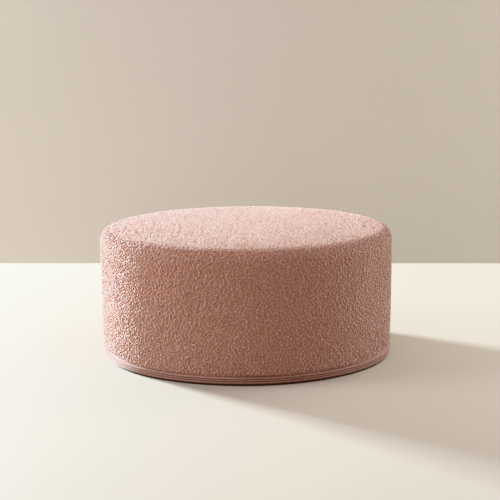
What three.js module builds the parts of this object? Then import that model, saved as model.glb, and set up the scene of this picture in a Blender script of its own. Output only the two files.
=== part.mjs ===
// A round ottoman: a low filled drum, upholstered in a looped wool cloth.
// Millimetres, +Z up. The origin is on the floor, under the middle of the drum.
// From the floor up: a thin dark base panel, a smooth band, the looped side panel and the
// crowned top panel, each drawn in at the seam where it is sewn to the next one. The side panel
// turns in over the rounded upper edge, so that the upper seam lies near the top of that edge.

import * as THREE from "three";
import { mergeVertices } from "three/addons/utils/BufferGeometryUtils.js";

// Driving dimensions
const DIAMETER = 900;
const HEIGHT = 400; // floor to the middle of the crowned top
const BASE_HEIGHT = 5; // thickness of the base panel that stands on the floor
const BAND_HEIGHT = 19.5; // the smooth band between the base panel and the lower seam
const TOP_CROWN = 7; // rise of the top panel from the top of the rounded edge to its middle
const EDGE_ROLL = 33; // radius of the rounded upper edge
const SEAM_ANGLE = (4 * Math.PI) / 9; // angle up the rounded edge at which the upper seam lies
const TOP_ANGLE = SEAM_ANGLE + Math.PI / 72; // where the top panel starts, just past the seam
const WALL_FLARE = 3; // the wall is wider at its head than at its foot by this much on the radius

// Upholstery
const SEAM_GAP = 0.3; // space between two sewn pieces
const LOWER_TUCK = 2.5; // how far the lower seam draws the cloth in
const UPPER_TUCK = 1.5; // how far the upper seam draws the cloth in
const TUCK_REACH = 5; // distance from a seam over which the cloth swells out again
const WALL_BELLY = 1; // how much fuller the wall is at mid-height
const BAND_INSET = 1; // the band stands behind the foot of the wall by this much
const BAND_ROLL = 4; // radius of the band's rolled lower edge
const BAND_SEWN_LINES = [12.5, 6.3]; // lines sewn round the band, measured down from the lower seam
const SEWN_LINE_DEPTH = 1.2;
const SEWN_LINE_WIDTH = 4;
const BASE_EDGE = 1; // small bevel round the foot of the base panel
const CROWN_POWER = 2.4; // above 2, the middle of the top is flatter than a dome

// The filling is a little uneven. Even counts keep the drum's middle on the axis.
const UNEVEN_WAVES = [
  { count: 4, size: 0.8, turn: 0.4 },
  { count: 6, size: 0.6, turn: 2.1 },
  { count: 10, size: 0.45, turn: 4.0 },
  { count: 14, size: 0.3, turn: 5.2 },
];

// How finely the round forms are divided
const ROUND_STEPS = 96;
const WALL_STEPS = 12;
const ARC_STEPS = 6;
const CROWN_STEPS = 6;
const MERGE_DISTANCE = 0.001; // points closer than this are one point

// Heights and radii that follow from the sizes above
const RADIUS = DIAMETER / 2;
const BAND_FOOT = BASE_HEIGHT + SEAM_GAP;
const LOWER_SEAM = BASE_HEIGHT + BAND_HEIGHT;
const WALL_FOOT = LOWER_SEAM + SEAM_GAP;
const EDGE_FOOT = HEIGHT - TOP_CROWN - EDGE_ROLL;
const UPPER_SEAM = EDGE_FOOT + (EDGE_ROLL - UPPER_TUCK) * Math.sin(SEAM_ANGLE);
const HEAD_RADIUS = RADIUS - WALL_BELLY;
const CROWN_RADIUS = HEAD_RADIUS - EDGE_ROLL;
const BAND_RADIUS = HEAD_RADIUS - WALL_FLARE - BAND_INSET;
const BASE_RADIUS = BAND_RADIUS - BAND_ROLL;

// How far a seam still draws the cloth in at a distance from it
function tuckAt(depth, distance) {
  return depth * Math.exp(-((distance / TUCK_REACH) ** 2));
}

// Sideways swell of the filling at an angle round the drum
function unevenAt(angle) {
  return UNEVEN_WAVES.reduce(
    (sum, wave) => sum + wave.size * Math.sin(wave.count * angle + wave.turn),
    0,
  );
}

// Points along an arc, from the angle start to the angle end. radiusAt(angle) is its radius there.
function arcPoints(centreRadius, centreHeight, radiusAt, start, end) {
  const points = [];
  for (let step = 0; step <= ARC_STEPS; step += 1) {
    const angle = start + ((end - start) * step) / ARC_STEPS;
    points.push(
      new THREE.Vector2(
        centreRadius + radiusAt(angle) * Math.cos(angle),
        centreHeight + radiusAt(angle) * Math.sin(angle),
      ),
    );
  }
  return points;
}

// Points up the rounded upper edge, drawn in towards the upper seam
function edgePoints(start, end) {
  const radiusAt = (angle) =>
    EDGE_ROLL - tuckAt(UPPER_TUCK, EDGE_ROLL * Math.abs(angle - SEAM_ANGLE));
  return arcPoints(CROWN_RADIUS, EDGE_FOOT, radiusAt, start, end);
}

// A closed solid of revolution whose section runs from the axis, out and round, to the axis.
// swell(height) says how much of the uneven filling shows at a height, from 0 to 1.
function drumSolid(section, swell) {
  const foot = new THREE.Vector2(0, section[0].y);
  const head = new THREE.Vector2(0, section[section.length - 1].y);
  const profile = section[section.length - 1].x > 0 ? [foot, ...section, head] : [foot, ...section];
  const lathe = new THREE.LatheGeometry(profile, ROUND_STEPS);
  lathe.rotateX(Math.PI / 2);
  lathe.deleteAttribute("normal");
  lathe.deleteAttribute("uv");
  const solid = mergeVertices(lathe, MERGE_DISTANCE);
  const position = solid.attributes.position;
  for (let index = 0; index < position.count; index += 1) {
    const x = position.getX(index);
    const y = position.getY(index);
    const radius = Math.hypot(x, y);
    if (radius > 0) {
      const push = unevenAt(Math.atan2(y, x)) * swell(position.getZ(index));
      const scale = 1 + push / radius;
      position.setXY(index, x * scale, y * scale);
    }
  }
  solid.computeVertexNormals();
  return solid;
}

// The thin base panel: flat below, with a small bevel round its foot
function basePanelGeometry() {
  const section = [
    new THREE.Vector2(BASE_RADIUS - BASE_EDGE, 0),
    new THREE.Vector2(BASE_RADIUS, BASE_EDGE),
    new THREE.Vector2(BASE_RADIUS, BASE_HEIGHT),
  ];
  return drumSolid(section, () => 0);
}

// The smooth band: a rolled foot, two sewn lines and a tuck into the lower seam
function baseBandGeometry() {
  const halfLine = SEWN_LINE_WIDTH / 2;
  const section = arcPoints(BASE_RADIUS, BAND_FOOT + BAND_ROLL, () => BAND_ROLL, -Math.PI / 2, 0);
  for (const down of BAND_SEWN_LINES) {
    const lineHeight = LOWER_SEAM - down;
    section.push(new THREE.Vector2(BAND_RADIUS, lineHeight - halfLine));
    section.push(new THREE.Vector2(BAND_RADIUS - SEWN_LINE_DEPTH, lineHeight));
    section.push(new THREE.Vector2(BAND_RADIUS, lineHeight + halfLine));
  }
  section.push(new THREE.Vector2(BAND_RADIUS - LOWER_TUCK + BAND_INSET, LOWER_SEAM));
  return drumSolid(section, () => 0);
}

// The wall: drawn in at its foot, a little fuller at mid-height and wider at its head, then
// turned in over the rounded edge to the upper seam
function sidePanelGeometry() {
  const section = [];
  for (let step = 0; step < WALL_STEPS; step += 1) {
    // Closer steps near the lower seam, where the wall bends most
    const along = 1 - Math.cos((Math.PI * step) / (2 * WALL_STEPS));
    const height = WALL_FOOT + along * (EDGE_FOOT - WALL_FOOT);
    const belly = WALL_BELLY * Math.sin(Math.PI * along);
    const flare = WALL_FLARE * (1 - along);
    const tuck = tuckAt(LOWER_TUCK, height - WALL_FOOT);
    section.push(new THREE.Vector2(HEAD_RADIUS + belly - flare - tuck, height));
  }
  section.push(...edgePoints(0, SEAM_ANGLE));
  return drumSolid(section, (height) => {
    const toSeam = Math.min(height - WALL_FOOT, UPPER_SEAM - height);
    return 1 - Math.exp(-toSeam / TUCK_REACH);
  });
}

// The top: from the upper seam over the rest of the rounded edge and in along the crown
function topPanelGeometry() {
  const section = edgePoints(TOP_ANGLE, Math.PI / 2);
  const foot = section[0].y;
  for (let step = 1; step <= CROWN_STEPS; step += 1) {
    const share = 1 - step / CROWN_STEPS;
    section.push(new THREE.Vector2(CROWN_RADIUS * share, HEIGHT - TOP_CROWN * share ** CROWN_POWER));
  }
  return drumSolid(section, (height) => Math.min(1, (height - foot) / TUCK_REACH));
}

// One sub-part with its own finish
function subPart(name, geometry, color, roughness) {
  const material = new THREE.MeshStandardMaterial({ color, roughness, metalness: 0 });
  const mesh = new THREE.Mesh(geometry, material);
  mesh.name = name;
  return mesh;
}

const LOOPED_WOOL = 0xb98a7b;
const SMOOTH_BAND = 0x96665a;
const DARK_BASE = 0x3a2a22;

const ottoman = new THREE.Group();
ottoman.name = "ottoman";
ottoman.add(subPart("base_panel", basePanelGeometry(), DARK_BASE, 0.9));
ottoman.add(subPart("base_band", baseBandGeometry(), SMOOTH_BAND, 0.85));
ottoman.add(subPart("side_panel", sidePanelGeometry(), LOOPED_WOOL, 0.95));
ottoman.add(subPart("top_panel", topPanelGeometry(), LOOPED_WOOL, 0.95));

export default ottoman;
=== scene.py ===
"""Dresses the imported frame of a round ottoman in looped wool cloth, and sets it on a plain stage.

Laid out as a Blender add-on and run as a script. Metres, +Z up, in the frame's own axes.
"""

import math

import bpy
import numpy as np
from mathutils import Euler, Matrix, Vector
from mathutils.bvhtree import BVHTree


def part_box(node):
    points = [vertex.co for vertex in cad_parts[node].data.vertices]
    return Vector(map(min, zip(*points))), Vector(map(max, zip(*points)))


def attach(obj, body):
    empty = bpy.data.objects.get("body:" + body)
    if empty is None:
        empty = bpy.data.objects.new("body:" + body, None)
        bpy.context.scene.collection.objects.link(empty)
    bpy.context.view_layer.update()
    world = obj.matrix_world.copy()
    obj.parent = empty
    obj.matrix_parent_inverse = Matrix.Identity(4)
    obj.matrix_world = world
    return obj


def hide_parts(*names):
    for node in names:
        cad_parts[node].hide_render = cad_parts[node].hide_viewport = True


bl_info = {
    "name": "Looped wool ottoman",
    "version": (1, 0, 0),
    "blender": (4, 5, 0),
    "location": "3D View > Sidebar > Ottoman",
    "description": "Dresses a round ottoman in looped wool, with its band, sewing and stage",
    "category": "Object",
}

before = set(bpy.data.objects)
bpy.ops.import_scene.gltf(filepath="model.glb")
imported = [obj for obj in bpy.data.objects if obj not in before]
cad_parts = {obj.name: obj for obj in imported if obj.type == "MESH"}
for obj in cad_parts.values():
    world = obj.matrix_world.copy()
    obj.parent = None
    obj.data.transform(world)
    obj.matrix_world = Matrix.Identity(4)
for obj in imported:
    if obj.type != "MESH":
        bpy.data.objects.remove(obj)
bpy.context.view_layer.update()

MM = 0.001
BASE_LOW, BASE_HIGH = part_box("base_panel")
BAND_LOW, BAND_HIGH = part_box("base_band")
SIDE_LOW, SIDE_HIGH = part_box("side_panel")
TOP_LOW, TOP_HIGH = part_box("top_panel")

# How finely the ground cloth is divided. The rim has four times as many columns as the top has steps.
TOP_STEPS = 66
COLUMNS = 4 * TOP_STEPS
WALL_ROWS = 30
EDGE_ROWS = 7
RIM_ROWS = 2
BAND_ROWS = 20

# How finely the yarn and the sewing are divided, and in how many joined meshes the yarn lies
SIDE_PIECES = 2
TOP_PIECES = 1
LOOP_RINGS = 4
STITCH_RINGS = 4
TUBE_SIDES = 3

SETTLE_FRAMES = 20
SETTLE_PRESSURE = 4.0
NUB_SEED = 911
NUB_SHAKE = 0.26  # how far a nub may lie from its even place, as a share of the pitch
NUB_HALF = 0.41  # half the width of a nub, as a share of the pitch
ROOT_SHADE_TONE = 0.5  # painted shade: how pale the yarn is drawn where it goes into the cloth, against its loops
GROUND_SHADE_TONE = 0.25  # painted shade: how pale the ground cloth between the nubs is drawn, kept dark
YARN_BLOOM = 1.0  # how much loose fibre the yarn shows
GROUND_BLOOM = 0.3  # how much loose fibre the ground cloth shows
SIDE_UNEVEN = 0.22  # spread of the loops' tones on the wall
SIDE_EDGE_SHADE = 0.6  # painted shade: how much darker the wall's yarn is drawn over the rounded edge, the more it faces up
TOP_UNEVEN = 0.24  # spread of the loops' tones on the top
TOP_EDGE_SHADE = 0.0  # the top gets no painted shade over the edge
SEAM_CLEAR = 0.2 * MM  # from the upper seam to the cloth on either side of it
SEAM_BARE = 2.5 * MM  # from a seam of the wall to the middle of its first nubs
GOLDEN_TURN = math.pi * (3 - math.sqrt(5))


def srgb(code):
    """A hex colour such as c39a8b as linear red, green and blue"""
    channels = [int(code[place : place + 2], 16) / 255 for place in (0, 2, 4)]
    return [c / 12.92 if c <= 0.04045 else ((c + 0.055) / 1.055) ** 2.4 for c in channels]


def length(name, description, default):
    """A property for a size in metres"""
    return bpy.props.FloatProperty(
        name=name, description=description, default=default, precision=4, unit="LENGTH"
    )


def colour(name, description, code):
    """A property for a colour, its default given as sRGB hex"""
    return bpy.props.FloatVectorProperty(
        name=name, description=description, default=srgb(code), size=3, subtype="COLOR", min=0, max=1
    )


def angle(name, description, degrees):
    """A property for an angle, its default given in degrees"""
    return bpy.props.FloatProperty(
        name=name, description=description, default=math.radians(degrees), subtype="ANGLE"
    )


def power(name, description, watts):
    """A property for a lamp's power"""
    return bpy.props.FloatProperty(
        name=name, description=description, default=watts, min=0, unit="POWER"
    )


class OttomanSizes(bpy.types.PropertyGroup):
    """Sizes of the cloth, the loops and the sewing"""

    edge_roll: length("Edge roll", "Radius of the drum's rounded upper edge", 33 * MM)
    seam_angle: angle("Seam angle", "How far up the rounded edge the upper seam lies", 80)
    crown: length("Crown", "Rise of the top panel from the rounded edge to its middle", 7 * MM)
    pile: length("Pile", "How far the loops stand out from the cloth they are woven into", 3.6 * MM)
    swell: length("Swell", "How far the filling may push the cloth out", 1.2 * MM)
    ground_depth: length("Ground depth", "How far inside the solid the swelled ground cloth lies", 4.8 * MM)
    nub_pitch: length("Nub pitch", "Distance from one nub of looped yarn to the next", 7.9 * MM)
    loop_radius: length("Loop radius", "Radius of a loop of yarn, to the yarn's middle", 2.2 * MM)
    yarn_radius: length("Yarn radius", "Half the thickness of the looped yarn", 0.9 * MM)
    seam_depth: length("Seam depth", "How far inside the solid a seam lies", 6.5 * MM)
    allowance: length("Seam allowance", "Cloth turned in beyond a seam", 6 * MM)
    band_tuck: length("Band tuck", "How far the lower seam draws the band in", 4 * MM)
    band_roll: length("Band roll", "Radius of the band's rolled foot", 4 * MM)
    upper_line: length("Upper line", "From the lower seam down to the upper sewn line", 6.3 * MM)
    lower_line: length("Lower line", "From the lower seam down to the lower sewn line", 12.5 * MM)
    line_depth: length("Line depth", "How far a sewn line draws the band in", 2 * MM)
    line_width: length("Line width", "Half the width of the dip at a sewn line", 1.5 * MM)
    stitch_pitch: length("Stitch pitch", "Distance from one stitch to the next", 5 * MM)
    stitch_radius: length("Stitch radius", "Half the thickness of the sewing thread", 0.8 * MM)


class OttomanColours(bpy.types.PropertyGroup):
    """Colours of the cloth and of the stage"""

    # Painted shade: the deepest wool colour is what the yarn is drawn in where painted shade darkens it
    # most, low between the loops
    wool_deep_shade: colour("Wool, deep", "Yarn at its darkest, low between the loops", "79564e")
    wool: colour("Wool", "The looped yarn", "a37766")
    wool_pale: colour("Wool, pale", "Yarn at its palest, in single loops", "b2907f")
    wool_sheen: colour("Wool sheen", "Fibre ends seen edge on", "fffcfa")
    band: colour("Band", "The smooth woven band", "7e6058")
    band_thread: colour("Band thread", "The thread sewn round the band", "452e28")
    base: colour("Base", "The dark cloth under the ottoman", "3a2a22")
    floor: colour("Floor", "The pale floor", "91877d")
    backdrop: colour("Backdrop", "The sheet behind the ottoman", "9b938a")


class OttomanStage(bpy.types.PropertyGroup):
    """The camera and the lamps"""

    camera_back: length("Camera distance", "From the drum's axis to the camera, along the floor", 4.4004)
    camera_side: length("Camera offset", "How far the camera stands to the right", 0.0118)
    camera_height: length("Camera height", "From the floor to the camera", 1.079)
    camera_tilt: angle("Camera tilt", "How far the camera looks down", 9.863)
    camera_roll: angle("Camera roll", "Turn about the line of sight", 0.479)
    focal: bpy.props.FloatProperty(
        name="Focal length", description="On a sensor 36 mm wide", default=103.986, unit="CAMERA"
    )
    backdrop_back: length("Backdrop distance", "From the drum's axis to the backdrop", 1.48)
    backdrop_turn: angle("Backdrop turn", "Turn of the backdrop from square to the axes", -2.65)
    key: power("Key lamp", "The low lamp behind on the left", 3150)
    soft: power("Soft lamp", "The wide lamp on the left", 128)
    front: power("Front lamp", "The wide low lamp in front", 30)
    right: power("Right lamp", "The wide lamp on the right", 128)
    high: power("High lamp", "The lamp high up behind on the right", 62)
    fill: bpy.props.FloatProperty(
        name="Fill", description="Even light from all round", default=1.3, min=0
    )


def add_node(tree, kind, inputs=None, **settings):
    """Add a shader node, set its properties, and fill or link its sockets by name or number"""
    made = tree.nodes.new(kind)
    for name, value in settings.items():
        setattr(made, name, value)
    for socket, value in (inputs or {}).items():
        if isinstance(value, bpy.types.NodeSocket):
            tree.links.new(value, made.inputs[socket])
        else:
            made.inputs[socket].default_value = value
    return made


def new_material(name):
    """An empty node material and the tree to fill"""
    material = bpy.data.materials.new(name)
    material.use_nodes = True
    material.node_tree.nodes.clear()
    return material, material.node_tree


def finish_material(tree, shader):
    """Link a shader to the material's surface"""
    add_node(tree, "ShaderNodeOutputMaterial", {"Surface": shader.outputs[0]})


def opaque(rgb):
    """Three colour channels with a full alpha"""
    return (*rgb, 1.0)


def looped_wool_material(name, colours, bloom):
    """Looped wool yarn, woven and left raised, or the flat ground that it is woven into.

    Matt and soft. Each loop has a tone of its own, and painted shade darkens the yarn where it goes
    into the cloth, the ground between the loops and the yarn over the edge. The fibre ends that stand
    off the yarn give a pale bloom wherever it is seen edge on. The ground has little loose fibre.
    bloom is the most of the bloom that shows, from 0 to 1.
    """
    made = bpy.data.materials.get(name)
    if made:
        return made
    material, tree = new_material(name)
    fibre_mm = 1.6  # tufts of fibre along the yarn
    place = add_node(tree, "ShaderNodeTexCoord").outputs["Object"]
    fibre = add_node(
        tree,
        "ShaderNodeTexNoise",
        {"Vector": place, "Scale": 1 / (fibre_mm * MM), "Detail": 2.0, "Roughness": 0.6},
    ).outputs["Fac"]
    tone = add_node(tree, "ShaderNodeAttribute", attribute_name="loop_tone_and_shade").outputs["Fac"]
    offset = add_node(
        tree, "ShaderNodeMath", {0: fibre, 1: 0.5}, operation="SUBTRACT"
    ).outputs[0]
    mixed = add_node(
        tree, "ShaderNodeMath", {0: offset, 1: 0.35, 2: tone}, operation="MULTIPLY_ADD"
    ).outputs[0]
    ramp = add_node(tree, "ShaderNodeValToRGB", {"Fac": mixed})
    stops = ramp.color_ramp.elements
    stops[0].position = 0.0
    stops[0].color = opaque(colours.wool_deep_shade)
    stops[1].position = 1.0
    stops[1].color = opaque(colours.wool_pale)
    stops.new(0.5).color = opaque(colours.wool)
    bump = add_node(
        tree, "ShaderNodeBump", {"Height": fibre, "Strength": 0.5, "Distance": 0.4 * MM}
    )
    # The sheen is turned down on yarn of less than a third of the palest tone, where less of its fibre is
    # seen: its roots, the ground and the yarn over the edge, where that tone carries painted shade
    seen = add_node(tree, "ShaderNodeMath", {0: tone, 1: 3.0}, operation="MULTIPLY").outputs[0]
    bloom_seen = add_node(
        tree, "ShaderNodeMath", {0: seen, 1: bloom}, operation="MINIMUM"
    ).outputs[0]
    shader = add_node(
        tree,
        "ShaderNodeBsdfPrincipled",
        {
            "Base Color": ramp.outputs["Color"],
            "Roughness": 0.95,
            "IOR": 1.54,
            "Specular IOR Level": 0.2,
            "Sheen Weight": bloom_seen,
            "Sheen Roughness": 0.45,
            "Sheen Tint": opaque(colours.wool_sheen),
            "Normal": bump.outputs["Normal"],
        },
    )
    finish_material(tree, shader)
    return material


def ribbed_cloth_material(colours):
    """Flat woven wool band with ribs along it.

    Smoother and deeper in tone than the loops, with fine level ribs that catch the light.
    """
    material, tree = new_material("ribbed_wool_band")
    rib_mm = 2.8  # such ribs are about 1.5 mm apart, drawn coarser so that they show
    place = add_node(tree, "ShaderNodeTexCoord").outputs["Object"]
    ribs = add_node(
        tree,
        "ShaderNodeTexWave",
        {
            "Vector": place,
            "Scale": 2 * math.pi / (20 * rib_mm * MM),
            "Distortion": 0.6,
            "Detail": 1.0,
            "Detail Scale": 40.0,
        },
        bands_direction="Z",
    ).outputs["Fac"]
    slub = add_node(
        tree, "ShaderNodeTexNoise", {"Vector": place, "Scale": 1 / (9 * MM), "Detail": 2.0}
    ).outputs["Fac"]
    mixed = add_node(
        tree, "ShaderNodeMath", {0: ribs, 1: 0.5, 2: slub}, operation="MULTIPLY_ADD"
    ).outputs[0]
    ramp = add_node(tree, "ShaderNodeValToRGB", {"Fac": mixed})
    stops = ramp.color_ramp.elements
    stops[0].position = 0.35
    stops[0].color = opaque([0.75 * c for c in colours.band])
    stops[1].position = 1.1
    stops[1].color = opaque([min(1.0, 1.2 * c) for c in colours.band])
    bump = add_node(
        tree, "ShaderNodeBump", {"Height": ribs, "Strength": 0.6, "Distance": 0.5 * MM}
    )
    shader = add_node(
        tree,
        "ShaderNodeBsdfPrincipled",
        {
            "Base Color": ramp.outputs["Color"],
            "Roughness": 0.85,
            "IOR": 1.54,
            "Specular IOR Level": 0.05,
            "Sheen Weight": 0.08,
            "Sheen Roughness": 0.5,
            "Sheen Tint": opaque(colours.wool_sheen),
            "Normal": bump.outputs["Normal"],
        },
    )
    finish_material(tree, shader)
    return material


def sewing_thread_material(colours):
    """Spun polyester sewing thread: a little smoother than the cloth, with a fine twist"""
    material, tree = new_material("spun_polyester_thread")
    twist_mm = 0.8  # one turn of the thread's plies
    place = add_node(tree, "ShaderNodeTexCoord").outputs["Object"]
    twist = add_node(
        tree, "ShaderNodeTexNoise", {"Vector": place, "Scale": 1 / (twist_mm * MM), "Detail": 1.0}
    ).outputs["Fac"]
    ramp = add_node(tree, "ShaderNodeValToRGB", {"Fac": twist})
    stops = ramp.color_ramp.elements
    stops[0].color = opaque([0.8 * c for c in colours.band_thread])
    stops[1].color = opaque([min(1.0, 1.15 * c) for c in colours.band_thread])
    bump = add_node(
        tree, "ShaderNodeBump", {"Height": twist, "Strength": 0.4, "Distance": 0.15 * MM}
    )
    shader = add_node(
        tree,
        "ShaderNodeBsdfPrincipled",
        {
            "Base Color": ramp.outputs["Color"],
            "Roughness": 0.6,
            "IOR": 1.57,
            "Normal": bump.outputs["Normal"],
        },
    )
    finish_material(tree, shader)
    return material


def base_cloth_material(colours):
    """Spun-bonded polypropylene base cloth: thin, dark and dull, pressed with a small dot pattern"""
    material, tree = new_material("spunbonded_base_cloth")
    dot_mm = 3.0  # from one pressed dot to the next
    place = add_node(tree, "ShaderNodeTexCoord").outputs["Object"]
    dots = add_node(
        tree, "ShaderNodeTexVoronoi", {"Vector": place, "Scale": 1 / (dot_mm * MM), "Randomness": 0.15}
    ).outputs["Distance"]
    ramp = add_node(tree, "ShaderNodeValToRGB", {"Fac": dots})
    stops = ramp.color_ramp.elements
    stops[0].color = opaque([0.7 * c for c in colours.base])
    stops[1].color = opaque([1.2 * c for c in colours.base])
    bump = add_node(
        tree, "ShaderNodeBump", {"Height": dots, "Strength": 0.4, "Distance": 0.2 * MM}
    )
    shader = add_node(
        tree,
        "ShaderNodeBsdfPrincipled",
        {
            "Base Color": ramp.outputs["Color"],
            "Roughness": 0.8,
            "IOR": 1.49,
            "Normal": bump.outputs["Normal"],
        },
    )
    finish_material(tree, shader)
    return material


def painted_material(name, rgb, roughness):
    """Matt paint with a faint mottle, for the floor and the backdrop"""
    material, tree = new_material(name)
    place = add_node(tree, "ShaderNodeTexCoord").outputs["Object"]
    mottle = add_node(
        tree, "ShaderNodeTexNoise", {"Vector": place, "Scale": 1.5, "Detail": 3.0}
    ).outputs["Fac"]
    ramp = add_node(tree, "ShaderNodeValToRGB", {"Fac": mottle})
    stops = ramp.color_ramp.elements
    stops[0].color = opaque([0.97 * c for c in rgb])
    stops[1].color = opaque([min(1.0, 1.02 * c) for c in rgb])
    shader = add_node(
        tree,
        "ShaderNodeBsdfPrincipled",
        {"Base Color": ramp.outputs["Color"], "Roughness": roughness, "Specular IOR Level": 0.2},
    )
    return material, tree, shader


def new_object(name, points, faces):
    """A smooth-shaded mesh object from points and faces"""
    mesh = bpy.data.meshes.new(name)
    mesh.from_pydata(points, [], faces)
    mesh.update()
    mesh.shade_smooth()
    made = bpy.data.objects.new(name, mesh)
    bpy.context.scene.collection.objects.link(made)
    return made


def mesh_points(mesh):
    """A mesh's points as an array"""
    points = np.empty(3 * len(mesh.vertices), np.float32)
    mesh.vertices.foreach_get("co", points)
    return points.reshape(-1, 3).astype(float)


def set_mesh_points(mesh, points):
    """Move a mesh's points"""
    mesh.vertices.foreach_set("co", np.asarray(points, np.float32).ravel())
    mesh.update()


def unit(vectors):
    """Vectors scaled to length one"""
    return vectors / np.linalg.norm(vectors, axis=-1, keepdims=True)


def ring_points(radius, height, angles):
    """A level ring of points"""
    flat = [radius * np.cos(angles), radius * np.sin(angles), np.full(len(angles), height)]
    return np.stack(flat, axis=1)


def ring_faces(upper, lower):
    """Faces between two rings of point numbers, looking outwards"""
    return [
        (upper[i], lower[i], lower[(i + 1) % len(lower)], upper[(i + 1) % len(upper)])
        for i in range(len(upper))
    ]


def fan_faces(ring, middle):
    """Faces from a ring of point numbers to one point, looking down"""
    return [(ring[i], middle, ring[(i + 1) % len(ring)]) for i in range(len(ring))]


def drum(name, rows, angles):
    """A closed drum from rows of radius and height, the highest first"""
    count = len(angles)
    points = np.concatenate([ring_points(*row, angles) for row in rows])
    rings = [list(range(i * count, (i + 1) * count)) for i in range(len(rows))]
    faces = [tuple(rings[0]), tuple(reversed(rings[-1]))]
    for upper, lower in zip(rings, rings[1:]):
        faces += ring_faces(upper, lower)
    return new_object(name, points.tolist(), faces)


def disc_grid(steps):
    """A square grid of points mapped evenly onto a disc of radius one"""
    line = np.linspace(-1, 1, steps + 1)
    across, along = np.meshgrid(line, line)
    wide = np.abs(across) > np.abs(along)
    radius = np.where(wide, across, along)
    divisor = np.where(radius == 0, 1, radius)
    eighth = math.pi / 4
    turn = np.where(wide, eighth * along / divisor, 2 * eighth - eighth * across / divisor)
    return (radius * np.cos(turn)).ravel(), (radius * np.sin(turn)).ravel()


def grid_rim(steps):
    """Point numbers round the edge of a square grid, anticlockwise from its first corner"""
    side = steps + 1
    lower = list(range(steps))
    right = [i * side + steps for i in range(steps)]
    upper = [steps * side + i for i in range(steps, 0, -1)]
    left = [i * side for i in range(steps, 0, -1)]
    return lower + right + upper + left


def grid_faces(rows, columns):
    """Faces of a grid of points, looking up"""
    side = columns + 1
    corners = [row * side + column for row in range(rows) for column in range(columns)]
    return [(c, c + 1, c + 1 + side, c + side) for c in corners]


def surface_of(mesh):
    """A mesh as a surface that can be asked for its nearest point"""
    faces = [tuple(face.vertices) for face in mesh.polygons]
    return BVHTree.FromPolygons([v.co.copy() for v in mesh.vertices], faces)


def nearest_on(surface, points):
    """The nearest places on a surface and the directions it faces there"""
    found = [surface.find_nearest(Vector(point)) for point in points]
    places = np.array([tuple(hit[0]) for hit in found])
    facing = np.array([tuple(hit[1]) for hit in found])
    return places, facing


def settle(start, sewn, cap):
    """Swell a closed panel on its filling with the cloth simulation, holding its sewn points.

    No point moves further than cap. The panel keeps the settled shape as its own mesh.
    """
    group = start.vertex_groups.new(name="sewn")
    group.add([int(i) for i in sewn], 1.0, "REPLACE")
    modifier = start.modifiers.new("settle", "CLOTH")
    cloth = modifier.settings
    cloth.quality = 5
    cloth.mass = 0.35
    cloth.tension_stiffness = 12
    cloth.compression_stiffness = 12
    cloth.shear_stiffness = 5
    cloth.bending_stiffness = 4
    cloth.use_pressure = True
    cloth.uniform_pressure_force = SETTLE_PRESSURE
    cloth.effector_weights.gravity = 0
    cloth.vertex_group_mass = "sewn"
    modifier.collision_settings.use_collision = False
    modifier.point_cache.frame_start = 1
    modifier.point_cache.frame_end = SETTLE_FRAMES
    scene = bpy.context.scene
    for step in range(1, SETTLE_FRAMES + 1):
        scene.frame_set(step)
    settled = start.evaluated_get(bpy.context.evaluated_depsgraph_get()).to_mesh()
    moved = mesh_points(settled)
    start.modifiers.remove(modifier)
    start.vertex_groups.remove(group)
    scene.frame_set(1)
    before = mesh_points(start.data)
    shift = moved - before
    far = np.linalg.norm(shift, axis=1, keepdims=True)
    set_mesh_points(start.data, before + shift * np.minimum(1, cap / np.maximum(far, 1e-9)))


def give_tone(panel, tones):
    """Store how pale the yarn is drawn at each point, from 0 to 1: its own tone together with the painted
    shade
    """
    layer = panel.data.attributes.new("loop_tone_and_shade", "FLOAT", "POINT")
    layer.data.foreach_set("value", np.asarray(tones, np.float32))


def dress(piece, material, slot_name, *nodes):
    """Give a piece its material, hang it on the root body and hide the solids that it stands for"""
    piece.data.materials.clear()
    piece.data.materials.append(material)
    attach(piece, "root")
    if nodes:
        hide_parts(*nodes)


def solid_radius(node, height):
    """Radius of a solid's edge at one of its levels"""
    points = mesh_points(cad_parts[node].data)
    level = np.abs(points[:, 2] - height) < 0.05 * MM
    return np.hypot(points[level, 0], points[level, 1]).max()


def crown_radius(sizes):
    """Radius at which the crown of the top ends and the rounded edge begins"""
    return SIDE_HIGH.x - sizes.edge_roll


def edge_foot(sizes):
    """Height at which the wall starts to turn in over the rounded edge"""
    return TOP_HIGH.z - sizes.crown - sizes.edge_roll


def edge_row(sizes, turn, inset=0.0):
    """Radius and height at an angle up the rounded edge, some way inside it"""
    roll = sizes.edge_roll - inset
    return crown_radius(sizes) + roll * math.cos(turn), edge_foot(sizes) + roll * math.sin(turn)


def seam_rows(sizes, lift):
    """Rows at the upper seam, from the loops down into the filling, a little above or below the seam"""
    turn = sizes.seam_angle + lift / sizes.edge_roll
    return [
        edge_row(sizes, turn, sizes.seam_depth),
        edge_row(sizes, turn, sizes.seam_depth + sizes.allowance),
    ]


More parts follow.
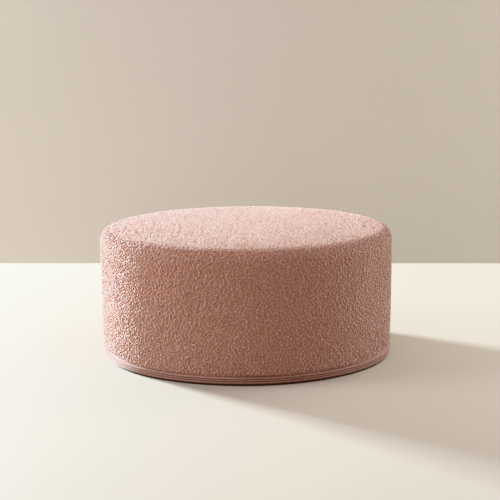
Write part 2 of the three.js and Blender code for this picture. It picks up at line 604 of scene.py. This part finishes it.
def top_panel_start(sizes):
    """The crowned top before it swells: points, faces and numbers of its sewn points"""
    across, along = disc_grid(TOP_STEPS)
    level = TOP_HIGH.z - sizes.crown * (across**2 + along**2)
    points = [np.stack([across * crown_radius(sizes), along * crown_radius(sizes), level], axis=1)]
    faces = grid_faces(TOP_STEPS, TOP_STEPS)
    rim = grid_rim(TOP_STEPS)
    angles = np.arctan2(along[rim], across[rim])
    turns = np.linspace(math.pi / 2, sizes.seam_angle, RIM_ROWS + 1)
    rows = [edge_row(sizes, turn) for turn in turns[1:-1]] + seam_rows(sizes, SEAM_CLEAR)
    turned = rows[-1][1]
    rows.append((0.5 * rows[-1][0], turned))
    rings = [rim]
    count = len(across)
    for row in rows:
        points.append(ring_points(*row, angles))
        rings.append(list(range(count, count + COLUMNS)))
        faces += ring_faces(rings[-2], rings[-1])
        count += COLUMNS
    points.append(np.array([[0, 0, turned]]))
    faces += fan_faces(rings[-1], count)
    return np.concatenate(points), faces, rings[-3] + rings[-2] + rings[-1] + [count]


def side_panel_start(sizes):
    """The wall before it swells: points, faces and numbers of its sewn points"""
    angles = np.linspace(0, 2 * math.pi, COLUMNS, endpoint=False)
    foot_radius = solid_radius("side_panel", SIDE_LOW.z) - sizes.seam_depth
    # Closer rows towards the lower seam, where the wall bends
    eased = np.sin(np.linspace(0, math.pi / 2, WALL_ROWS + 1))
    heights = edge_foot(sizes) - eased * (edge_foot(sizes) - SIDE_LOW.z)
    sewn_head = list(reversed(seam_rows(sizes, -SEAM_CLEAR)))
    turned = sewn_head[0][1]
    rows = [
        (0.5 * sewn_head[0][0], turned),
        *sewn_head,
        *[edge_row(sizes, turn) for turn in np.linspace(sizes.seam_angle, 0, EDGE_ROWS + 1)[1:]],
        *[(SIDE_HIGH.x, height) for height in heights[1:-1]],
        (foot_radius, SIDE_LOW.z),
        (0.5 * foot_radius, SIDE_LOW.z),
    ]
    points = [ring_points(*row, angles) for row in rows]
    points.append(np.array([[0, 0, turned], [0, 0, SIDE_LOW.z]]))
    rings = [list(range(i * COLUMNS, (i + 1) * COLUMNS)) for i in range(len(rows))]
    head = len(rows) * COLUMNS
    faces = [(a, b, middle) for a, middle, b in fan_faces(rings[0], head)]
    for upper, lower in zip(rings, rings[1:]):
        faces += ring_faces(upper, lower)
    faces += fan_faces(rings[-1], head + 1)
    sewn = rings[0] + rings[1] + rings[2] + rings[-2] + rings[-1] + [head, head + 1]
    return np.concatenate(points), faces, sewn


def padded_panel(name, start, node, sizes):
    """Build a panel of ground cloth just inside its solid and swell it on its filling"""
    points, faces, sewn = start
    free = np.ones(len(points), bool)
    free[sewn] = False
    places, facing = nearest_on(surface_of(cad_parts[node].data), points[free])
    points[free] = places - facing * (sizes.ground_depth + sizes.swell)
    panel = new_object(name, points.tolist(), faces)
    settle(panel, sewn, sizes.swell)
    return panel


def wall_anchors(sizes, rng):
    """Places for nubs up the wall and over the edge to the seam, in staggered columns, a little uneven"""
    wall = edge_foot(sizes) - SIDE_LOW.z
    whole = wall + sizes.edge_roll * sizes.seam_angle
    columns = 2 * round(math.pi * SIDE_HIGH.x / sizes.nub_pitch)
    rows = round(whole / sizes.nub_pitch)
    column, row = np.meshgrid(np.arange(columns), np.arange(rows))
    # Two columns to a pitch, so the same shake is twice as many columns
    sideways = 2 * rng.uniform(-NUB_SHAKE, NUB_SHAKE, column.shape)
    turn = (column + sideways) / columns * 2 * math.pi
    rise = row + 0.25 + 0.5 * (column % 2) + rng.uniform(-NUB_SHAKE, NUB_SHAKE, row.shape)
    way = SEAM_BARE + np.clip(rise / rows, 0, 1).ravel() * (whole - 2 * SEAM_BARE)
    turn = turn.ravel()
    bend = np.maximum(0, way - wall) / sizes.edge_roll
    radius = crown_radius(sizes) + sizes.edge_roll * np.cos(bend)
    height = SIDE_LOW.z + np.minimum(way, wall) + sizes.edge_roll * np.sin(bend)
    return turned_places(turn, radius, height, math.pi / 2 - bend)


def top_anchors(sizes, rng):
    """Places for nubs on the top: a sunflower spiral over the crown and the upper part of the edge"""
    inner = crown_radius(sizes)
    way_out = inner + sizes.edge_roll * (math.pi / 2 - sizes.seam_angle)
    count = round(math.pi * way_out**2 / sizes.nub_pitch**2)
    order = np.arange(count)
    shake = rng.uniform(-NUB_SHAKE, NUB_SHAKE, (2, count)) * sizes.nub_pitch
    way = way_out * np.sqrt((order + 0.5) / count)
    x = way * np.cos(order * GOLDEN_TURN) + shake[0]
    y = way * np.sin(order * GOLDEN_TURN) + shake[1]
    way = np.minimum(np.hypot(x, y), way_out)
    bend = np.maximum(0, way - inner) / sizes.edge_roll
    radius = np.minimum(way, inner) + sizes.edge_roll * np.sin(bend)
    level = TOP_HIGH.z - sizes.crown * np.minimum(1, way / inner) ** 2
    height = level - sizes.edge_roll * (1 - np.cos(bend))
    return turned_places(np.arctan2(y, x), radius, height, bend)


def turned_places(turn, radius, height, tilt):
    """Places round the axis, and the directions that face out there, tilted out from straight up"""
    places = np.stack([radius * np.cos(turn), radius * np.sin(turn), height], axis=-1)
    out = np.sin(tilt)
    facing = np.stack([out * np.cos(turn), out * np.sin(turn), np.cos(tilt)], axis=-1)
    return places, facing


def many(name, shapes, faces):
    """One joined mesh of many small shapes that have the same faces.

    Its map gives every face a place of its own, in a cell for each shape.
    """
    count, points_each = shapes.shape[:2]
    first = np.arange(count)[:, None, None] * points_each
    whole = []
    laid = []
    cells = math.ceil(math.sqrt(count))
    cell = np.stack([np.arange(count) % cells, np.arange(count) // cells], axis=1)[:, None, None, :]
    slots = math.ceil(math.sqrt(len(faces)))
    square = 0.8 * np.array([(0, 0), (1, 0), (1, 1), (0, 1)])
    for corners in sorted({len(face) for face in faces}):
        numbers = [i for i, face in enumerate(faces) if len(face) == corners]
        whole += (first + np.array([faces[i] for i in numbers])[None]).reshape(-1, corners).tolist()
        slot = np.array([(i % slots, i // slots) for i in numbers])[None, :, None, :]
        laid.append(((cell + (slot + square[:corners]) / slots) / cells).reshape(-1, 2))
    made = new_object(name, shapes.reshape(-1, 3).tolist(), whole)
    bake_map = made.data.uv_layers.new(name="OFBake")
    bake_map.data.foreach_set("uv", np.concatenate(laid).astype(np.float32).ravel())
    return made


def tangents(facing, rng):
    """Two directions along the cloth at each place, turned at random"""
    upright = np.abs(facing[:, 2:]) < 0.7
    reference = np.where(upright, [[0.0, 0.0, 1.0]], [[1.0, 0.0, 0.0]])
    first = unit(np.cross(reference, facing))
    second = np.cross(facing, first)
    spin = rng.uniform(0, 2 * math.pi, (len(facing), 1))
    return np.cos(spin) * first + np.sin(spin) * second, np.cos(spin) * second - np.sin(spin) * first


def nub_shape():
    """Points and faces of a squat nub: a small square over a wider one, turned by half a side"""
    quarter = np.arange(4) * math.pi / 2
    wide = np.stack([np.cos(quarter), np.sin(quarter), np.full(4, -0.35)], axis=1)
    turned = quarter + math.pi / 4
    small = np.stack([0.62 * np.cos(turned), 0.62 * np.sin(turned), np.full(4, 0.88)], axis=1)
    faces = [(3, 2, 1, 0), (4, 5, 6, 7)]
    for side in range(4):
        after = (side + 1) % 4
        faces.append((side, after, side + 4))
        faces.append((after, after + 4, side + 4))
    return np.concatenate([wide, small]), faces


def yarn_pieces(name, pieces, shapes, faces, places, facing, tones, material, sizes):
    """Small shapes of yarn as a few joined meshes, over equal shares of the turn.

    tones says how pale each shape is. The yarn is painted darker where it goes into the cloth, as painted
    shade.
    """
    height = np.einsum("npc,nc->np", shapes - places[:, None, :], facing) / sizes.pile
    # Painted shade: each shape is drawn darker towards where it goes into the cloth
    tone = tones[:, None] * (ROOT_SHADE_TONE + (1 - ROOT_SHADE_TONE) * np.clip(height, 0, 1))
    share = (np.arctan2(places[:, 1], places[:, 0]) / (2 * math.pi)) % 1
    for number in range(pieces):
        chosen = np.floor(share * pieces).astype(int) == number
        piece = many(f"{name}_{number + 1}", shapes[chosen], faces)
        give_tone(piece, np.clip(tone[chosen], 0, 1).ravel())
        dress(piece, material, "looped_wool")


def nubs(places, facing, sizes, rng):
    """Points of lumpy nubs of yarn that stand on the cloth"""
    ball = nub_shape()[0]
    count = len(places)
    half = NUB_HALF * sizes.nub_pitch
    along, across = tangents(facing, rng)
    tip = rng.normal(0, 0.2, (count, 1))
    lumps = rng.uniform(0.86, 1.14, (count, len(ball), 1))
    axes = np.stack(
        [
            unit(along + tip * facing) * half * rng.uniform(1.0, 1.2, (count, 1)),
            across * half * rng.uniform(0.85, 1.0, (count, 1)),
            unit(facing - tip * along) * sizes.pile * rng.uniform(0.65, 0.85, (count, 1)),
        ],
        axis=1,
    )
    return places[:, None, :] + lumps * np.einsum("pk,nkc->npc", ball, axes)


def yarn_loops(places, facing, sizes, rng):
    """Points of yarn loops over the nubs: open rings that lean over, with both ends in the nub"""
    count = len(places)
    along, across = tangents(facing, rng)
    lean = np.radians(rng.uniform(35, 75, (count, 1)))
    up = np.cos(lean) * facing + np.sin(lean) * across
    radius = sizes.loop_radius * rng.uniform(0.8, 1.2, (count, 1, 1))
    turn = np.radians(np.linspace(-55, 235, LOOP_RINGS))[None, :, None]
    spoke = np.cos(turn) * along[:, None, :] + np.sin(turn) * up[:, None, :]
    axis = np.broadcast_to(np.cross(along, up)[:, None, :], spoke.shape)
    slide = np.linspace(-1.1, 1.1, LOOP_RINGS)[None, :, None] * sizes.yarn_radius
    middle = (places + 0.5 * sizes.pile * facing + 0.4 * up * radius[:, 0])[:, None, :]
    return tubes_along(middle + radius * spoke + slide * axis, spoke, axis, sizes.yarn_radius)


def looped_pile(name, pieces, anchors, panel, uneven, edge_shade, sizes, colours, rng):
    """The raised yarn of a panel: nubs, and a loop over each one.

    uneven is the spread of the loops' tones. The argument after it is painted shade: how much darker
    the yarn is drawn where the cloth bends up over the edge.
    """
    outside, facing = anchors
    places = nearest_on(surface_of(panel.data), outside)[0]
    material = looped_wool_material("looped_wool_yarn", colours, YARN_BLOOM)
    # Painted shade: the yarn is drawn darker the more the cloth faces up over the rounded edge
    edge_shaded = 1 - edge_shade * facing[:, 2]
    tones = edge_shaded * rng.normal(0.52, 0.08, len(places))
    shapes = nubs(places, facing, sizes, rng)
    yarn_pieces(f"{name}_nubs", pieces, shapes, nub_shape()[1], places, facing, tones, material, sizes)
    tones = edge_shaded * rng.normal(0.6, uneven, len(places))
    shapes = yarn_loops(places, facing, sizes, rng)
    faces = tube_faces(LOOP_RINGS)
    yarn_pieces(f"{name}_loops", pieces, shapes, faces, places, facing, tones, material, sizes)


def tube_faces(rings):
    """Faces of a closed tube with TUBE_SIDES sides"""
    faces = [tuple(range(TUBE_SIDES)), tuple(reversed(range((rings - 1) * TUBE_SIDES, rings * TUBE_SIDES)))]
    for ring in range(rings - 1):
        for side in range(TUBE_SIDES):
            near = ring * TUBE_SIDES + side
            beside = ring * TUBE_SIDES + (side + 1) % TUBE_SIDES
            faces.append((near, near + TUBE_SIDES, beside + TUBE_SIDES, beside))
    return faces


def tubes_along(path, spoke, axis, radius):
    """Points of tubes round paths, between two directions square to each path"""
    around = (np.arange(TUBE_SIDES) * 2 * math.pi / TUBE_SIDES)[None, None, :, None]
    shell = np.cos(around) * spoke[:, :, None, :] + np.sin(around) * axis[:, :, None, :]
    tubes = path[:, :, None, :] + radius * shell
    return tubes.reshape(len(path), -1, 3)


def lay_map(panel, radius):
    """A map for a drum's panel: its wall unrolled and its flat faces laid beside it"""
    mesh = panel.data
    layer = mesh.uv_layers.new(name="OFBake")
    points = mesh_points(mesh)
    corner = np.empty(len(mesh.loops), np.int32)
    mesh.loops.foreach_get("vertex_index", corner)
    normals = np.empty(3 * len(mesh.polygons), np.float32)
    mesh.polygons.foreach_get("normal", normals)
    totals = np.empty(len(mesh.polygons), np.int32)
    mesh.polygons.foreach_get("loop_total", totals)
    middles = np.empty(3 * len(mesh.polygons), np.float32)
    mesh.polygons.foreach_get("center", middles)
    level = np.repeat(normals.reshape(-1, 3)[:, 2], totals)
    middle = np.repeat(middles.reshape(-1, 3), totals, axis=0)
    x, y, z = points[corner].T
    turn = np.arctan2(y, x) / (2 * math.pi)
    middle_turn = np.arctan2(middle[:, 1], middle[:, 0]) / (2 * math.pi)
    turn = middle_turn + (turn - middle_turn + 0.5) % 1 - 0.5 + 0.5
    low, high = points[:, 2].min(), points[:, 2].max()
    rise = (z - low) / (high - low)
    flat_x = x / radius / 4.2
    flat_y = y / radius / 4.2
    u = np.where(level > 0.7, 0.25 + flat_x, np.where(level < -0.7, 0.75 + flat_x, turn))
    v = np.where(np.abs(level) > 0.7, 0.25 + flat_y, 0.52 + 0.46 * rise)
    layer.data.foreach_set("uv", np.stack([np.clip(u, 0, 1), v], axis=1).astype(np.float32).ravel())


class OttomanSidePanel(bpy.types.Operator):
    """The looped wool wall, swelled between its two seams"""

    bl_idname = "ottoman.side_panel"
    bl_label = "Side panel"

    def execute(self, context):
        sizes = context.scene.ottoman_sizes
        colours = context.scene.ottoman_colours
        panel = padded_panel("side_cloth", side_panel_start(sizes), "side_panel", sizes)
        rng = np.random.default_rng(NUB_SEED)
        anchors = wall_anchors(sizes, rng)
        looped_pile("side", SIDE_PIECES, anchors, panel, SIDE_UNEVEN, SIDE_EDGE_SHADE, sizes, colours, rng)
        # The ground cloth between the nubs is drawn dark as painted shade
        give_tone(panel, np.full(len(panel.data.vertices), GROUND_SHADE_TONE))
        lay_map(panel, SIDE_HIGH.x)
        ground = looped_wool_material("looped_wool_ground", colours, GROUND_BLOOM)
        dress(panel, ground, "looped_wool", "side_panel")
        return {"FINISHED"}


class OttomanTopPanel(bpy.types.Operator):
    """The crowned looped wool top, swelled inside its seam"""

    bl_idname = "ottoman.top_panel"
    bl_label = "Top panel"

    def execute(self, context):
        sizes = context.scene.ottoman_sizes
        colours = context.scene.ottoman_colours
        panel = padded_panel("top_cloth", top_panel_start(sizes), "top_panel", sizes)
        rng = np.random.default_rng(NUB_SEED + 1)
        anchors = top_anchors(sizes, rng)
        looped_pile("top", TOP_PIECES, anchors, panel, TOP_UNEVEN, TOP_EDGE_SHADE, sizes, colours, rng)
        # The ground cloth between the nubs is drawn dark as painted shade
        give_tone(panel, np.full(len(panel.data.vertices), GROUND_SHADE_TONE))
        lay_map(panel, TOP_HIGH.x)
        ground = looped_wool_material("looped_wool_ground", colours, GROUND_BLOOM)
        dress(panel, ground, "looped_wool", "top_panel")
        return {"FINISHED"}


def band_dip(sizes, height):
    """How far the band is drawn in at a height, by its two sewn lines and by its seam"""
    dip = sizes.band_tuck * np.exp(-(((BAND_HIGH.z - height) / sizes.line_width) ** 2))
    for down in (sizes.upper_line, sizes.lower_line):
        from_line = height - (BAND_HIGH.z - down)
        dip = dip + sizes.line_depth * np.exp(-((from_line / sizes.line_width) ** 2))
    return dip


def stitch_tubes(radius, height, sizes):
    """Tubes of thread along a sewn line: each stitch rises from the cloth and goes back into it"""
    count = round(2 * math.pi * radius / sizes.stitch_pitch)
    thread = sizes.stitch_radius
    middle = (np.arange(count) * 2 * math.pi / count)[:, None]
    along = np.linspace(-0.38, 0.38, STITCH_RINGS)[None, :] * sizes.stitch_pitch
    rise = thread * np.where(np.abs(along) < 0.3 * sizes.stitch_pitch, 0.9, -0.6)
    turn = middle + along / radius
    out = np.stack([np.cos(turn), np.sin(turn), np.zeros_like(turn)], axis=-1)
    path = out * (radius + rise)[..., None]
    path[..., 2] = height
    up = np.broadcast_to([0.0, 0.0, 1.0], out.shape)
    return tubes_along(path, out, up, thread)


class OttomanBand(bpy.types.Operator):
    """The smooth band above the floor and the stitches sewn round it"""

    bl_idname = "ottoman.band"
    bl_label = "Band"

    def execute(self, context):
        sizes = context.scene.ottoman_sizes
        colours = context.scene.ottoman_colours
        radius = BAND_HIGH.x
        stitches = round(2 * math.pi * radius / sizes.stitch_pitch)
        angles = np.linspace(0, 2 * math.pi, 2 * stitches, endpoint=False)
        pucker = 0.15 * np.where(np.arange(2 * stitches) % 2, 1, -1)
        roll = sizes.band_roll
        heights = np.linspace(BAND_HIGH.z, BAND_LOW.z + roll, BAND_ROWS)
        rows = [(0.5 * radius, BAND_HIGH.z)]
        rows += [(radius - band_dip(sizes, height) * (1 + pucker), height) for height in heights]
        for turn in np.linspace(0, math.pi / 2, 5)[1:]:
            rows.append((radius - roll * (1 - math.cos(turn)), BAND_LOW.z + roll * (1 - math.sin(turn))))
        rows.append((0.5 * radius, BAND_LOW.z))
        band = drum("band", rows, angles)
        lay_map(band, radius)
        dress(band, ribbed_cloth_material(colours), "band_cloth", "base_band")
        lines = [BAND_HIGH.z - down for down in (sizes.upper_line, sizes.lower_line)]
        tubes = [stitch_tubes(radius - band_dip(sizes, line), line, sizes) for line in lines]
        sewing = many("band_stitches", np.concatenate(tubes), tube_faces(STITCH_RINGS))
        dress(sewing, sewing_thread_material(colours), "band_cloth")
        return {"FINISHED"}


class OttomanBase(bpy.types.Operator):
    """The thin dark base that stands on the floor"""

    bl_idname = "ottoman.base"
    bl_label = "Base"

    def execute(self, context):
        angles = np.linspace(0, 2 * math.pi, COLUMNS, endpoint=False)
        ripple = 0.4 * MM * np.random.default_rng(NUB_SEED + 2).uniform(-1, 0, COLUMNS)
        radius = BASE_HIGH.x + ripple
        edge = 1 * MM
        rows = [
            (0.5 * BASE_HIGH.x, BASE_HIGH.z),
            (radius, BASE_HIGH.z),
            (radius, BASE_LOW.z + edge),
            (radius - 0.3 * edge, BASE_LOW.z + 0.3 * edge),
            (radius - edge, BASE_LOW.z),
            (0.5 * BASE_HIGH.x, BASE_LOW.z),
        ]
        base = drum("base", rows, angles)
        lay_map(base, BASE_HIGH.x)
        dress(base, base_cloth_material(context.scene.ottoman_colours), "base_cloth", "base_panel")
        return {"FINISHED"}


def add_lamp(name, place, target, size, watts, rgb):
    """A square lamp that faces a target, unseen by the camera"""
    lamp = bpy.data.lights.new(name, "AREA")
    lamp.shape = "SQUARE"
    lamp.size = size
    lamp.energy = watts
    lamp.color = rgb
    made = bpy.data.objects.new(name, lamp)
    made.location = place
    made.rotation_euler = (Vector(target) - Vector(place)).to_track_quat("-Z", "Y").to_euler()
    made.visible_camera = False
    bpy.context.scene.collection.objects.link(made)


class OttomanStageSet(bpy.types.Operator):
    """The floor, the backdrop, the lamps and the camera"""

    bl_idname = "ottoman.stage"
    bl_label = "Stage"

    def execute(self, context):
        scene = context.scene
        stage = scene.ottoman_stage
        colours = scene.ottoman_colours
        reach = 9.0
        corners = [(-reach, -reach, 0), (reach, -reach, 0), (reach, reach, 0), (-reach, reach, 0)]
        floor = new_object("floor", corners, [(0, 1, 2, 3)])
        material, tree, shader = painted_material("matt_floor_paint", colours.floor, 0.7)
        finish_material(tree, shader)
        floor.data.materials.append(material)
        # The backdrop stands a little turned, so that its foot is level in the picture
        slope = math.tan(stage.backdrop_turn)
        left = (-reach, stage.backdrop_back - reach * slope)
        right = (reach, stage.backdrop_back + reach * slope)
        sheet = [(*left, 0), (*right, 0), (*right, reach), (*left, reach)]
        backdrop = new_object("backdrop", sheet, [(0, 1, 2, 3)])
        material, tree, shader = painted_material("matt_backdrop_paint", colours.backdrop, 0.8)
        # The backdrop is seen from the front only, so that the ottoman shows from behind too
        clear = add_node(tree, "ShaderNodeBsdfTransparent")
        side = add_node(tree, "ShaderNodeNewGeometry").outputs["Backfacing"]
        one_sided = add_node(
            tree, "ShaderNodeMixShader", {0: side, 1: shader.outputs[0], 2: clear.outputs[0]}
        )
        finish_material(tree, one_sided)
        backdrop.data.materials.append(material)
        backdrop.visible_shadow = False
        add_lamp("key_lamp", (-4.0, 3.4, 0.95), (0, 0, 0.3), 0.9, stage.key, (0.77, 0.93, 1.0))
        add_lamp("soft_lamp", (-3.0, -0.6, 2.0), (0, 0, 0.2), 1.6, stage.soft, (0.91, 0.96, 1.0))
        add_lamp("front_lamp", (-1.5, -4.5, 0.9), (0, 0, 0.2), 2.0, stage.front, (1.0, 0.96, 0.98))
        add_lamp("right_lamp", (3.0, 0.8, 1.4), (0, 0, 0.2), 1.6, stage.right, (0.94, 1.0, 0.96))
        add_lamp("high_lamp", (1.8, 1.6, 2.4), (0, 0, 0.2), 1.4, stage.high, (0.96, 1.0, 0.98))
        world = bpy.data.worlds.new("studio_fill")
        world.use_nodes = True
        ground = world.node_tree.nodes["Background"]
        ground.inputs["Color"].default_value = (1.0, 0.965, 0.955, 1.0)
        ground.inputs["Strength"].default_value = stage.fill
        scene.world = world
        scene.view_settings.view_transform = "Khronos PBR Neutral"
        lens = bpy.data.cameras.new("photo_camera")
        lens.sensor_width = 36.0
        lens.lens = stage.focal
        lens.clip_end = 60.0
        camera = bpy.data.objects.new("photo_camera", lens)
        camera.location = (stage.camera_side, -stage.camera_back, stage.camera_height)
        look = Euler((math.pi / 2 - stage.camera_tilt, 0, 0)).to_matrix()
        roll = Euler((0, 0, -stage.camera_roll)).to_matrix()
        camera.rotation_euler = (look @ roll).to_euler()
        scene.collection.objects.link(camera)
        scene.camera = camera
        return {"FINISHED"}


class OttomanSidebar(bpy.types.Panel):
    """Lists the pieces of the ottoman in the 3D view's sidebar"""

    bl_idname = "VIEW3D_PT_ottoman"
    bl_label = "Ottoman"
    bl_space_type = "VIEW_3D"
    bl_region_type = "UI"
    bl_category = "Ottoman"

    def draw(self, context):
        for piece in PIECES:
            self.layout.operator(piece.bl_idname)


PIECES = (OttomanBase, OttomanBand, OttomanSidePanel, OttomanTopPanel, OttomanStageSet)
GROUPS = (OttomanSizes, OttomanColours, OttomanStage)


def register():
    """Register the classes and hang the settings on the scene"""
    for item in (*GROUPS, *PIECES, OttomanSidebar):
        bpy.utils.register_class(item)
    bpy.types.Scene.ottoman_sizes = bpy.props.PointerProperty(type=OttomanSizes)
    bpy.types.Scene.ottoman_colours = bpy.props.PointerProperty(type=OttomanColours)
    bpy.types.Scene.ottoman_stage = bpy.props.PointerProperty(type=OttomanStage)


def unregister():
    """Take the settings and the classes away again"""
    del bpy.types.Scene.ottoman_stage
    del bpy.types.Scene.ottoman_colours
    del bpy.types.Scene.ottoman_sizes
    for item in (OttomanSidebar, *reversed(PIECES), *reversed(GROUPS)):
        bpy.utils.unregister_class(item)


def main():
    """Make every piece and the stage"""
    register()
    bpy.ops.ottoman.base()
    bpy.ops.ottoman.band()
    bpy.ops.ottoman.side_panel()
    bpy.ops.ottoman.top_panel()
    bpy.ops.ottoman.stage()


if __name__ == "__main__":
    main()
